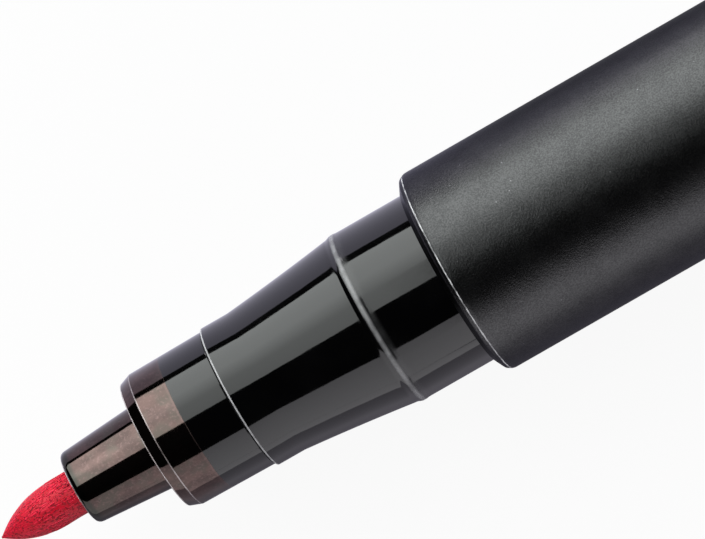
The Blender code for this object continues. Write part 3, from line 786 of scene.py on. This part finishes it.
# %% Grip section
BAND_RADIUS = 3.86 * MM
BAND_LENGTH = 1.50 * MM
FLARE_LENGTH = 6.19 * MM
FLARE_START_SLOPE = 0.095
BEAD_HEIGHT = 0.025 * MM
BEAD_WIDTH = 0.40 * MM
BEAD_LEAD = 0.22 * MM
BEAD_DIP = 0.08 * MM
BEAD_FRONT = 0.40 * MM
BEAD_REAR = 0.24 * MM
BEAD_TRAIL = 0.10 * MM
SECTION_BORE = STEM_RADIUS + 0.05 * MM
SECTION_WALL = 0.75 * MM
FLARE_STEPS = 28
BEAD_STEPS = 24
seat_radius = bead_radius - BEAD_HEIGHT
flare_start = section_front + BAND_LENGTH
bead_start = flare_start + FLARE_LENGTH
swept_length = FLARE_LENGTH - BEAD_LEAD
swept_rise = seat_radius - BEAD_DIP - BAND_RADIUS
bend = (swept_rise - FLARE_START_SLOPE * swept_length) / swept_length**2
lip = softened(
    [
        (section_front, SECTION_BORE, 0.0),
        (section_front, BAND_RADIUS, 0.05 * MM),
        (flare_start, BAND_RADIUS, 0.0),
    ],
    closed=False,
)
flare = []
for i in range(1, FLARE_STEPS):
    along_flare = swept_length * i / FLARE_STEPS
    rise_here = FLARE_START_SLOPE * along_flare + bend * along_flare**2
    flare.append(Vector((flare_start + along_flare, BAND_RADIUS + rise_here)))
bead_length = BEAD_LEAD + BEAD_WIDTH + BEAD_TRAIL


def bead_height(along_bead):
    """Height over the seat: from a dip in front, up to the crest and down to the seat."""
    if along_bead < BEAD_FRONT:
        share_up = (1 - math.cos(math.pi * along_bead / BEAD_FRONT)) / 2
        return (BEAD_HEIGHT + BEAD_DIP) * share_up - BEAD_DIP
    left = min(bead_length - along_bead, BEAD_REAR)
    return BEAD_HEIGHT * (1 - math.cos(math.pi * left / BEAD_REAR)) / 2


bead = []
for i in range(BEAD_STEPS + 1):
    along_bead = bead_length * i / BEAD_STEPS
    bead.append(Vector((bead_start - BEAD_LEAD + along_bead, seat_radius + bead_height(along_bead))))
rear = [
    bead[-1] + Vector((SUPPORT, 0.0)),
    Vector((section_end, seat_radius)),
    Vector((section_end, seat_radius - SECTION_WALL)),
    Vector((holder_end, seat_radius - SECTION_WALL)),
    Vector((holder_end, SECTION_BORE)),
]
bead_middle = bead_start + BEAD_WIDTH / 2
# Grip rings: station, half width, fade, paleness (a painted highlight) and scuff (added roughness).
grip_highlight_and_scuff = [
    (section_front + 0.02 * MM, 0.045 * MM, 0.035 * MM, 1.0, 0.25),
    (bead_middle + 0.05 * MM, 0.03 * MM, 0.14 * MM, 0.46, 0.12),
    (bead_middle + 0.20 * MM, 0.10 * MM, 0.30 * MM, 0.04, 0.12),
    (bead_middle - 0.30 * MM, 0.06 * MM, 0.20 * MM, 0.0, 0.05),
]
grip = turned("grip", lip + flare + bead + rear, gloss_black("gloss_black_grip", grip_highlight_and_scuff))
place_piece(grip, "pen", "gloss_black", "grip_section")

# %% [markdown]
# ## The barrel
#
# A textured tube whose front edge has a narrow chamfer and then a rounding. The edge between the two
# carries a thin pale line, a painted highlight. Ribs inside keep the reservoir in the middle.

# %% Barrel
NOSE_FACE = 0.09 * MM
NOSE_LENGTH = 0.28 * MM
NOSE_DROP = 0.17 * MM
RIM_FROM_FRONT = 0.50 * MM
RIM_DROP = 0.04 * MM
RIM_BLEND = 0.15 * MM
BARREL_BORE = seat_radius + 0.05 * MM
BARREL_RIBS = 6
RIB_WIDTH = 0.7 * MM
TENON_ROOM = 1.0 * MM
reservoir_radius = radius("reservoir_film")
rim_line = barrel_front + RIM_FROM_FRONT
barrel_black = matte_black("matte_black_barrel", rim_line)
barrel_corners = [
    (barrel_front, BARREL_BORE, 0.0),
    (barrel_front, BARREL_BORE + NOSE_FACE, 0.03 * MM),
    (barrel_front + NOSE_LENGTH, barrel_radius - NOSE_DROP, 0.06 * MM),
    (rim_line, barrel_radius - RIM_DROP, 0.02 * MM),
    (rim_line + RIM_BLEND, barrel_radius, 0.10 * MM),
    (barrel_end, barrel_radius, 0.12 * MM),
    (barrel_end, BARREL_BORE, 0.0),
]
barrel = turned("barrel_tube", softened(barrel_corners), barrel_black)
place_piece(barrel, "pen", "matte_black", "barrel")
barrel_ribs = rib_ring(
    "barrel_ribs", BARREL_RIBS, section_end + TENON_ROOM, plug_front - TENON_ROOM,
    reservoir_radius + 0.1 * MM, BARREL_BORE + 0.3 * MM, RIB_WIDTH, barrel_black,
)
place_piece(barrel_ribs, "pen", "matte_black")

# %% [markdown]
# ## The tail plug
#
# The plug closes the barrel with a ring in the ink's colour, and its spigot carries the posted cap with
# the same snap bead as the grip. Four fins press the reservoir forward.

# %% Tail plug
PLUG_WALL = 1.2 * MM
SPIGOT_EDGE = 0.8 * MM
FLANGE_LENGTH = 1.2 * MM
FIN_COUNT = 4
FIN_WIDTH = 0.9 * MM
PLUG_INSERT = 8.0 * MM
flange_front = barrel_end + 0.05 * MM
flange_end = flange_front + FLANGE_LENGTH
bead_from_rim = barrel_front - bead_middle
plug_core = seat_radius - PLUG_WALL
plug_floor = spigot_end - PLUG_WALL
insert_front = flange_front - PLUG_INSERT
plug_corners = [
    (plug_floor, 0.0, 0.0),
    (plug_floor, plug_core, 0.3 * MM),
    (insert_front, plug_core, 0.1 * MM),
    (insert_front, seat_radius, 0.3 * MM),
    (flange_front, seat_radius, 0.0),
    (flange_front, barrel_radius, 0.08 * MM),
    (flange_end, barrel_radius, 0.08 * MM),
    (flange_end, seat_radius, 0.05 * MM),
    (flange_end + bead_from_rim - BEAD_WIDTH / 2, seat_radius, 0.0),
    (flange_end + bead_from_rim, bead_radius, 0.1 * MM),
    (flange_end + bead_from_rim + BEAD_WIDTH / 2, seat_radius, 0.0),
    (spigot_end, seat_radius, SPIGOT_EDGE),
    (spigot_end, 0.0, 0.0),
]
plug = turned("plug", softened(plug_corners, closed=False), ink_red, closed=False)
place_piece(plug, "pen", "ink_red", "tail_plug")
plug_fins = rib_ring(
    "plug_fins", FIN_COUNT, plug_front, flange_front, 0.0, plug_core + 0.2 * MM, FIN_WIDTH, ink_red
)
place_piece(plug_fins, "pen", "ink_red")

# %% [markdown]
# ## The cap
#
# The cap's shell matches the barrel's texture, and the clip's foot sits in a slot that is cut through it.
# The clip's joint says where: its place, its axis and its outward side come from the frame.

# %% Cap shell
CAP_BORE = bead_radius + 0.055 * MM
SLOT_LENGTH = 1.8 * MM
SLOT_WIDTH = 3.9 * MM
SLOT_DEPTH = 3.0 * MM
flex = next(j for j in frame["joints"] if j["name"] == "clip_flex")
pivot = Vector(flex["pos_m"])
outward = Vector((0.0, pivot.y, pivot.z)).normalized()
sideways = -Vector(flex["axis"])
to_clip = Matrix((Vector((1, 0, 0)), sideways, -outward)).transposed()
clip_place = Matrix.Translation(pivot) @ to_clip.to_4x4()


def cut(piece, cutter):
    """Takes one mesh out of another, and leaves a plain mesh."""
    modifier = piece.modifiers.new("cut", "BOOLEAN")
    modifier.operation = "DIFFERENCE"
    modifier.solver = "EXACT"
    modifier.object = cutter
    graph = bpy.context.evaluated_depsgraph_get()
    result = bpy.data.meshes.new_from_object(piece.evaluated_get(graph))
    piece.modifiers.remove(modifier)
    piece.data = result
    bpy.data.objects.remove(cutter)
    result.shade_smooth()
    result.set_sharp_from_angle(angle=SMOOTH_BELOW)


shell_corners = [
    (cap_mouth, CAP_BORE, 0.08 * MM),
    (cap_mouth, cap_radius, 0.15 * MM),
    (shell_end, cap_radius, 0.06 * MM),
    (shell_end, CAP_BORE, 0.0),
]
shell = turned("shell", softened(shell_corners), cap_black)
slot_builder = bmesh.new()
slot_size = Matrix.Diagonal((SLOT_LENGTH, SLOT_WIDTH, SLOT_DEPTH, 1.0))
bmesh.ops.create_cube(slot_builder, size=1.0, matrix=clip_place @ slot_size)
cut(shell, finished_mesh("slot_cutter", slot_builder, cap_black))
place_piece(shell, "cap", "matte_black", "cap_shell")

# %% [markdown]
# ## The crown
#
# A crown in the ink's colour closes the cap's end. Its three vents, which let air through, are cut as the
# slot is.

# %% Crown
CAP_FIT = CAP_BORE - 0.05 * MM
CROWN_EDGE = 0.6 * MM
CROWN_WALL = 1.0 * MM
VENT_COUNT = 3
VENT_RADIUS = 0.55 * MM
VENT_CIRCLE = 2.7 * MM
VENT_SIDES = 32
VENT_CUT = 8.0 * MM
crown_seat = shell_end + 0.05 * MM
crown_corners = [
    (crown_seat, 0.0, 0.0),
    (crown_seat, CAP_FIT - CROWN_WALL, 0.2 * MM),
    (crown_front, CAP_FIT - CROWN_WALL, 0.1 * MM),
    (crown_front, CAP_FIT, 0.2 * MM),
    (crown_seat, CAP_FIT, 0.0),
    (crown_seat, cap_radius, 0.06 * MM),
    (tail_face, cap_radius, CROWN_EDGE),
    (tail_face, 0.0, 0.0),
]
crown = turned("crown", softened(crown_corners, closed=False), ink_red, closed=False)
vent_builder = bmesh.new()
for i in range(VENT_COUNT):
    around = Matrix.Rotation(2 * math.pi * i / VENT_COUNT, 3, "X")
    centre = to_clip @ (around @ Vector((0.0, 0.0, VENT_CIRCLE))) + Vector((tail_face, 0.0, 0.0))
    bmesh.ops.create_cone(
        vent_builder, cap_ends=True, segments=VENT_SIDES,
        radius1=VENT_RADIUS, radius2=VENT_RADIUS, depth=VENT_CUT,
        matrix=Matrix.Translation(centre) @ Matrix.Rotation(math.pi / 2, 4, "Y"),
    )
cut(crown, finished_mesh("vent_cutter", vent_builder, ink_red))
place_piece(crown, "cap", "ink_red", "cap_crown")

# %% [markdown]
# ## Inner pieces
#
# The inner cap, the reservoir and its wrap are plain mouldings that only show when the marker is opened.
# The construction model already has their shapes, so they keep them and only get a finish.

# %% Carried-over inner pieces
carried = {"cap_liner": natural_white, "reservoir_film": clear_film, "ink_reservoir": soaked_core}
for node, material in carried.items():
    frame["nodes"][node].data.materials.clear()
    frame["nodes"][node].data.materials.append(material)
print("construction nodes kept with a new finish:", ", ".join(carried))

# %% [markdown]
# ## The clip
#
# The clip is one springy strap. It stands off the shell along its length, and a rounded bump near its tip
# presses on whatever it holds. Its side outline is drawn once and pulled across its width.

# %% Clip
CLIP_LENGTH = 33.0 * MM
CLIP_WIDTH = 3.6 * MM
CLIP_TOP = 2.0 * MM
CLIP_UNDER = 0.8 * MM
CLIP_PAD = 1.8 * MM
CLIP_PAD_GAP = 0.2 * MM
CLIP_FOOT = 0.75 * MM
CLIP_FOOT_DEPTH = 0.75 * MM
CLIP_BUMP_FROM_TIP = 1.2 * MM
CLIP_BUMP_LENGTH = 2.4 * MM
CLIP_EDGE = 0.30 * MM
tip = CLIP_PAD - CLIP_LENGTH
bump_start = tip + CLIP_BUMP_FROM_TIP
bump_end = bump_start + CLIP_BUMP_LENGTH
clip_corners = [
    (tip, CLIP_UNDER, 0.32 * MM),
    (tip, CLIP_TOP, 0.7 * MM),
    (CLIP_PAD, CLIP_TOP, 0.6 * MM),
    (CLIP_PAD, CLIP_PAD_GAP, 0.32 * MM),
    (CLIP_FOOT, CLIP_PAD_GAP, 0.0),
    (CLIP_FOOT, -CLIP_FOOT_DEPTH, 0.0),
    (-CLIP_FOOT, -CLIP_FOOT_DEPTH, 0.0),
    (-CLIP_FOOT, CLIP_PAD_GAP, 0.0),
    (-CLIP_PAD, CLIP_PAD_GAP, 0.32 * MM),
    (-CLIP_PAD - CLIP_UNDER, CLIP_UNDER, 0.5 * MM),
    (bump_end, CLIP_UNDER, 0.4 * MM),
    (bump_end - CLIP_BUMP_LENGTH / 2, CLIP_PAD_GAP - 0.3 * MM, 1.1 * MM),
    (bump_start, CLIP_UNDER, 0.4 * MM),
]
clip_outline = softened(clip_corners, support=0.0)
clip_builder = bmesh.new()
side = [clip_builder.verts.new((p.x, -CLIP_WIDTH / 2, -p.y)) for p in clip_outline]
face = clip_builder.faces.new(side)
swept = bmesh.ops.extrude_face_region(clip_builder, geom=[face])["geom"]
moved = [v for v in swept if isinstance(v, bmesh.types.BMVert)]
bmesh.ops.translate(clip_builder, verts=moved, vec=(0.0, CLIP_WIDTH, 0.0))
bmesh.ops.transform(clip_builder, matrix=clip_place, verts=clip_builder.verts)
strap = finished_mesh("clip_strap", clip_builder, satin_black)
edge_round = strap.modifiers.new("rounded edges", "BEVEL")
edge_round.width = CLIP_EDGE
edge_round.segments = 4
edge_round.use_clamp_overlap = False
edge_round.limit_method = "ANGLE"
edge_round.angle_limit = math.radians(60)
place_piece(strap, "cap_clip", "satin_black", "clip")

# %% [markdown]
# ## What the marker mirrors
#
# Polished black shows little but its surroundings, and a studio table is not one even tone. So glossy
# rays meet strips of light painted on the floor in place of its white: painted reflections, pale and
# dark, near and far, above the marker and below it in the picture. The dark strips close beside and below
# the marker stand in for its shadow on the table: painted shadow. Behind the barrel's front edge they
# change for the matte barrel, along a line that the camera's lean slants.

# %% Painted reflection strips
CARD_ABOVE = 122.0 * MM
CARD_BELOW = 42.0 * MM
CARD_FADE = 2.0 * MM
# Glowing strips that only glossy rays see: painted reflections. The darker ones beside and below the
# marker stand in for its shadow: painted shadow.
NEAR_ABOVE = (0.76, 0.74, 0.90)
NEAR_BELOW_SHADED = (0.45, 0.43, 0.49)
BESIDE_BELOW_SHADOW = (0.16, 0.15, 0.18)
BESIDE_FROM = 5.5 * MM
BESIDE_TO = 12.0 * MM
FAR_ABOVE = (0.02, 0.02, 0.02)
FAR_BELOW = (1.20, 1.18, 1.24)
REAR_ABOVE = (6.00, 6.00, 6.15)
REAR_BELOW_SHADED = (0.40, 0.39, 0.43)
REAR_BESIDE_SHADOW = (0.30, 0.30, 0.33)
REAR_BESIDE_TO = 22.0 * MM
REAR_SLANT = 0.114
REAR_FROM = 8.0 * MM
REAR_TO = 20.0 * MM
REAR_NEAR = 40.0 * MM
REAR_END = 500.0 * MM
REAR_GONE = 600.0 * MM
floor_finish = Finish("pale_floor")
across = floor_finish.y
upper_side = across.between(-CARD_FADE, CARD_FADE)
slanted = floor_finish.x + REAR_SLANT * across.math("ABSOLUTE", across)
just_behind = slanted.between(barrel_front, barrel_front + REAR_FROM)
well_behind = slanted.between(barrel_front + REAR_FROM, barrel_front + REAR_TO)
beside_below = across.between(-BESIDE_TO, -BESIDE_FROM) * (1.0 - upper_side)
beside_above = (1.0 - across.between(BESIDE_FROM, REAR_BESIDE_TO)) * upper_side
far_above = across.between(CARD_ABOVE - CARD_FADE, CARD_ABOVE + CARD_FADE)
wide_above = across.between(REAR_NEAR, CARD_ABOVE) * (1.0 - across.between(REAR_END, REAR_GONE))
far_below = 1.0 - across.between(-CARD_BELOW - CARD_FADE, -CARD_BELOW + CARD_FADE)
painted_layers = [
    (beside_below, BESIDE_BELOW_SHADOW),
    (beside_above * just_behind, REAR_BESIDE_SHADOW),
    (far_above, FAR_ABOVE),
    (wide_above * well_behind, REAR_ABOVE),
    (far_below, floor_finish.blend(just_behind, FAR_BELOW, REAR_BELOW_SHADED)),
]
reflection_tone = floor_finish.blend(upper_side, NEAR_BELOW_SHADED, NEAR_ABOVE)
for mask, tone in painted_layers:
    reflection_tone = floor_finish.blend(mask, reflection_tone, tone)
print(len(painted_layers), "cards laid over the near ones")

# %% [markdown]
# ## The floor
#
# Camera rays see a nearly white floor, with a share of its own shading left for the marker's soft shadow.
# Every other ray, but for the glossy ones, meets plain matt paper.

# %% Floor
FLOOR_SIZE = 24.0
FLOOR_ROUGH = 0.9
CAMERA_WHITE = 0.93
PAPER_SCALE = 40.0
PAPER_DARK = (0.80, 0.80, 0.80)
PAPER_LIGHT = (0.83, 0.83, 0.83)
paper = floor_finish.noise(PAPER_SCALE, 3.0)
paper_tone = floor_finish.blend(paper.between(0.3, 0.7), PAPER_DARK, PAPER_LIGHT)
floor_finish.set(base_color=paper_tone, roughness=FLOOR_ROUGH)
rays = floor_finish.node("ShaderNodeLightPath").socket.node.outputs
seen = Value(floor_finish, rays["Is Camera Ray"]) + Value(floor_finish, rays["Is Transmission Ray"])
mirrored = Value(floor_finish, rays["Is Glossy Ray"])
lit = Value(floor_finish, floor_finish.shader.outputs[0])
plain_white = {"Color": (1.0, 1.0, 1.0, 1.0), "Strength": 1.0}
white = floor_finish.node("ShaderNodeEmission", None, plain_white)
painted_reflections = floor_finish.node("ShaderNodeEmission", None, {"Color": reflection_tone, "Strength": 1.0})
shown = floor_finish.node("ShaderNodeMixShader", None, {0: seen * CAMERA_WHITE, 1: lit, 2: white})
shown = floor_finish.node("ShaderNodeMixShader", None, {0: mirrored, 1: shown, 2: painted_reflections})
floor_out = floor_finish.tree.nodes["Material Output"]
floor_finish.tree.links.new(shown.socket, floor_out.inputs["Surface"])
floor_builder = bmesh.new()
bmesh.ops.create_grid(
    floor_builder, x_segments=1, y_segments=1, size=FLOOR_SIZE / 2,
    matrix=Matrix.Translation((0.0, 0.0, floor_height)),
)
floor = finished_mesh("floor", floor_builder, floor_finish.material)
print("the floor lies", round(-floor_height / MM, 2), "mm below the marker's axis")

# %% [markdown]
# ## Light panels
#
# Two long soft panels stand on either side of the camera, so the polished grip shows two grey bands with
# black between them. One area lamp has one tone, so each panel is a row of narrow strips whose light
# follows a few stops. The strips nearest the camera end at the barrel's front edge.

# %% Light panels
ROOM_TONE = (0.010, 0.010, 0.011, 1.0)
UPPER_AHEAD = 0.25
LOWER_AHEAD = 0.60
PANEL_BEHIND = 0.85
PANEL_DISTANCE = 0.40
UPPER_INNER = 33.0
LOWER_INNER = 57.0
INNER_BEHIND = -0.027
STRIP_ANGLE = 3.0
UPPER_STOPS = ((9.0, 1.55), (30.0, 1.75), (40.0, 2.35), (52.0, 3.0), (83.0, 3.2))
LOWER_STOPS = ((45.0, 1.0), (60.0, 1.15), (75.0, 1.22), (89.5, 1.22))
UPPER_TINT = (0.96, 1.0, 0.985)
LOWER_TINT = (1.0, 0.985, 1.03)
lit_middle = (nib_tip + barrel_front) / 2
world = bpy.data.worlds.new("dim_room")
world.use_nodes = True
world.node_tree.nodes["Background"].inputs["Color"].default_value = ROOM_TONE
bpy.context.scene.world = world


def strip(name, side_of_axis, near_angle, far_angle, radiance, tint):
    """A long strip of light between two angles from straight up, of a given radiance."""
    ahead, inner_angle = (UPPER_AHEAD, UPPER_INNER) if side_of_axis > 0 else (LOWER_AHEAD, LOWER_INNER)
    middle = math.radians((near_angle + far_angle) / 2)
    half = math.radians((far_angle - near_angle) / 2)
    width = 2 * PANEL_DISTANCE * math.tan(half)
    behind = PANEL_BEHIND if far_angle > inner_angle else INNER_BEHIND
    length = ahead + behind
    lamp = bpy.data.lights.new(name, "AREA")
    lamp.shape = "RECTANGLE"
    lamp.size = length
    lamp.size_y = width
    lamp.energy = radiance * math.pi * length * width
    lamp.color = tint
    stand = bpy.data.objects.new(name, lamp)
    direction = Vector((0.0, side_of_axis * math.sin(middle), math.cos(middle)))
    aim = Vector((lit_middle + (behind - ahead) / 2, 0.0, 0.0))
    stand.location = aim + direction * PANEL_DISTANCE
    strip_side = Vector((1, 0, 0)).cross(direction)
    turn_matrix = Matrix((Vector((1, 0, 0)), -strip_side, direction)).transposed()
    stand.rotation_euler = turn_matrix.to_euler()
    stand.visible_camera = False
    bpy.context.scene.collection.objects.link(stand)


def level_at(stops, angle):
    """Radiance at an angle, on straight lines between (angle, radiance) stops."""
    for (a, low), (b, high) in zip(stops, stops[1:]):
        if angle <= b:
            return low + (high - low) * (angle - a) / (b - a)
    return stops[-1][1]


def panel(name, side_of_axis, stops, tint):
    """A soft panel of narrow strips, so that its light can change smoothly across it."""
    first, last = stops[0][0], stops[-1][0]
    count = round((last - first) / STRIP_ANGLE)
    step = (last - first) / count
    for i in range(count):
        near_angle = first + step * i
        level = level_at(stops, near_angle + step / 2)
        strip(f"{name}_{i + 1}", side_of_axis, near_angle, near_angle + step, level, tint)
    print(name, "has", count, "strips")


panel("upper_panel", 1, UPPER_STOPS, UPPER_TINT)
panel("lower_panel", -1, LOWER_STOPS, LOWER_TINT)

# %% [markdown]
# ## A fill lamp
#
# The panels leave the matt nib dark on one side. A large fill lamp lifts it. Glossy rays don't see the
# lamp, so it adds no band to the polished black.

# %% Fill lamp
FILL_SIZE = 0.8
FILL_DISTANCE = 0.9
FILL_ENERGY = 3.4
FILL_FROM = Vector((-0.35, 0.45, 0.82)).normalized()
fill_lamp = bpy.data.lights.new("fill", "AREA")
fill_lamp.size = FILL_SIZE
fill_lamp.energy = FILL_ENERGY
fill = bpy.data.objects.new("fill", fill_lamp)
fill.location = Vector((lit_middle, 0.0, 0.0)) + FILL_FROM * FILL_DISTANCE
fill.rotation_euler = FILL_FROM.to_track_quat("Z", "Y").to_euler()
fill.visible_camera = False
fill.visible_glossy = False
bpy.context.scene.collection.objects.link(fill)
print("the fill lamp stands at", [round(v, 2) for v in fill.location], "m")

# %% [markdown]
# ## The camera
#
# A long lens keeps the marker's sides parallel. The camera looks almost straight down, leans a little
# towards the barrel and is rolled, so that the marker climbs across the picture.

# %% Camera
IMAGE_WIDTH = 705
PIXELS_PER_METRE = 20360.0
LENS = 430.0
SENSOR = 36.0
AXIS_CLIMB = math.radians(29.9)
LEAN = math.radians(6.5)
CENTRE_FROM_TIP = 21.65 * MM
CENTRE_ASIDE = 2.66 * MM
view_width = IMAGE_WIDTH / PIXELS_PER_METRE
distance = view_width * LENS / SENSOR
back = Vector((math.sin(LEAN), 0.0, math.cos(LEAN)))
axis_seen = Vector((math.cos(LEAN), 0.0, -math.sin(LEAN)))
aside = Vector((0.0, 1.0, 0.0))
right = axis_seen * math.cos(AXIS_CLIMB) - aside * math.sin(AXIS_CLIMB)
up = axis_seen * math.sin(AXIS_CLIMB) + aside * math.cos(AXIS_CLIMB)
camera_data = bpy.data.cameras.new("camera")
camera_data.lens = LENS
camera_data.sensor_width = SENSOR
camera_data.clip_start = 0.01
camera_data.clip_end = 100.0
camera = bpy.data.objects.new("camera", camera_data)
camera.location = Vector((nib_tip + CENTRE_FROM_TIP, CENTRE_ASIDE, 0.0)) + back * distance
camera.rotation_euler = Matrix((right, up, back)).transposed().to_euler()
bpy.context.scene.collection.objects.link(camera)
bpy.context.scene.camera = camera
bpy.context.scene.view_settings.view_transform = "Standard"
print("camera at", round(distance, 3), "m")
